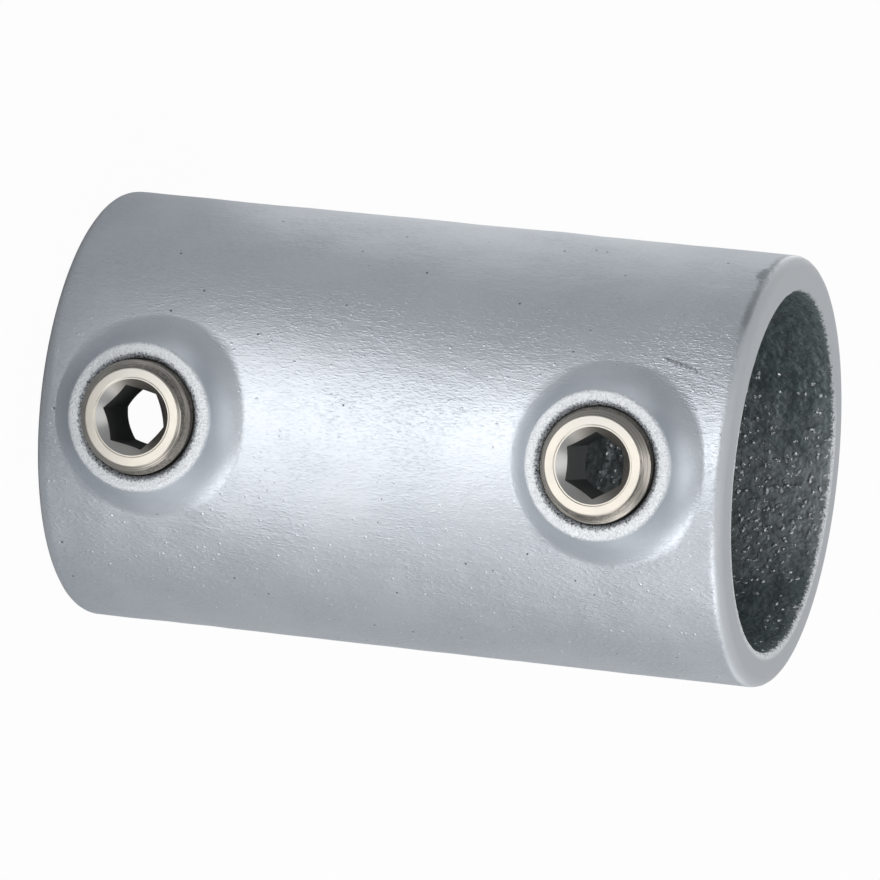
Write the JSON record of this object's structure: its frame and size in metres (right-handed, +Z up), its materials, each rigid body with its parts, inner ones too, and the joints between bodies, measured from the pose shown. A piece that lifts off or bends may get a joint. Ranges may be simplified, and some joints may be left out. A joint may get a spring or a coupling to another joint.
{
  "type": "inline tube connector",
  "caption": "Straight cast sleeve that joins round tubes end to end, held by hexagon-socket set screws in raised threaded bosses.",
  "frame": {"origin": "on the bore's axis, in the plane of the lower end face that the sleeve stands on", "axes": "+Z up the bore, from the lower end face to the upper one; the bosses and set screws face -Y"},
  "size_m": [0.0604, 0.068, 0.1],
  "materials": {
    "galvanised_casting": "hot-dip zinc over a fine cast skin, satin, pale blue-grey",
    "screw_steel": "turned and plated, warm nickel-grey"
  },
  "bodies": {
    "sleeve": {"sleeve_body": "galvanised_casting"},
    "lower_screw": {"set_screw_lower": "screw_steel"},
    "upper_screw": {"set_screw_upper": "screw_steel"}
  },
  "joints": [
    {"name": "lower_screw_travel", "type": "slide", "parent": "sleeve", "child": "lower_screw", "axis": [0, -1, 0], "range_m": [-0.004, 0.006]},
    {"name": "upper_screw_travel", "type": "slide", "parent": "sleeve", "child": "upper_screw", "axis": [0, -1, 0], "range_m": [-0.004, 0.006]}
  ]
}
